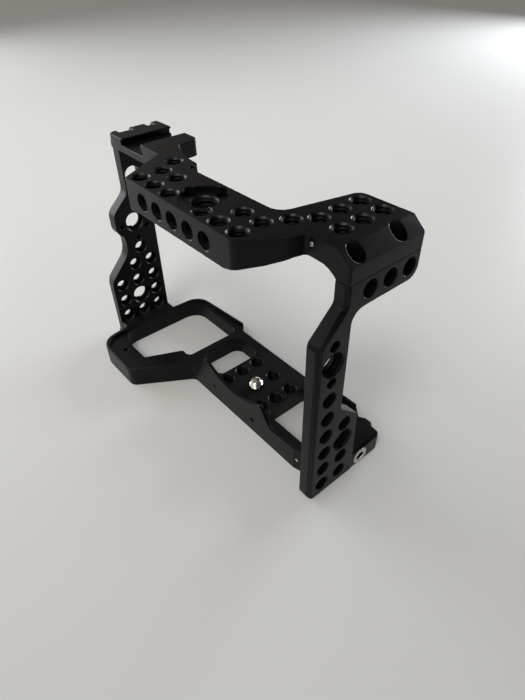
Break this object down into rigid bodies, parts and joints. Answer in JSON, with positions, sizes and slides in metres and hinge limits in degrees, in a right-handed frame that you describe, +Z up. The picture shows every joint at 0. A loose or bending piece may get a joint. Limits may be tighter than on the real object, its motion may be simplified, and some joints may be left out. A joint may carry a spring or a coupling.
{
  "type": "camera cage",
  "caption": "Machined full camera cage with cold shoe, threaded accessory holes on every side and a captive camera screw in the base.",
  "frame": {"origin": "middle of the outside box in X and Y, on the plane that the base plate's underside stands on", "axes": "+X from the grip side to the port side, -Y to the front where the lens looks, +Z up"},
  "size_m": [0.15, 0.0668, 0.1082],
  "materials": {
    "black_anodised": "satin black anodised, fine bead blast",
    "black_steel": "black oxide",
    "bright_steel": "bright turned stainless steel"
  },
  "bodies": {
    "cage": {"top_frame": "black_anodised", "port_side_plate": "black_anodised", "base_plate": "black_anodised", "top_joint_screw_front": "black_steel", "top_joint_screw_rear": "black_steel", "top_joint_dowel": "bright_steel", "grip_foot_screw_front": "black_steel", "grip_foot_screw_rear": "black_steel", "grip_foot_dowel_front": "bright_steel", "grip_foot_dowel_rear": "bright_steel", "port_foot_screw_front": "black_steel", "port_foot_screw_rear": "black_steel", "port_foot_dowel_front": "bright_steel", "port_foot_dowel_rear": "bright_steel", "foot_screw": "bright_steel", "wall_set_screw": "bright_steel", "top_set_screw": "bright_steel"},
    "screw_carrier": {"screw_washer": "bright_steel"},
    "screw": {"camera_screw": "bright_steel"}
  },
  "joints": [
    {"name": "screw_climb", "type": "slide", "parent": "cage", "child": "screw_carrier", "axis": [0, 0, 1], "range_m": [0, 0.00191]},
    {"name": "screw_turn", "type": "hinge", "parent": "screw_carrier", "child": "screw", "pos_m": [0.0171, 0.0077, 0.003], "axis": [0, 0, 1], "range_deg": [0, 540]}
  ],
  "couplings": [
    {"joint": "screw_turn", "follows": "screw_climb", "rad_per_m": 4947.4}
  ]
}
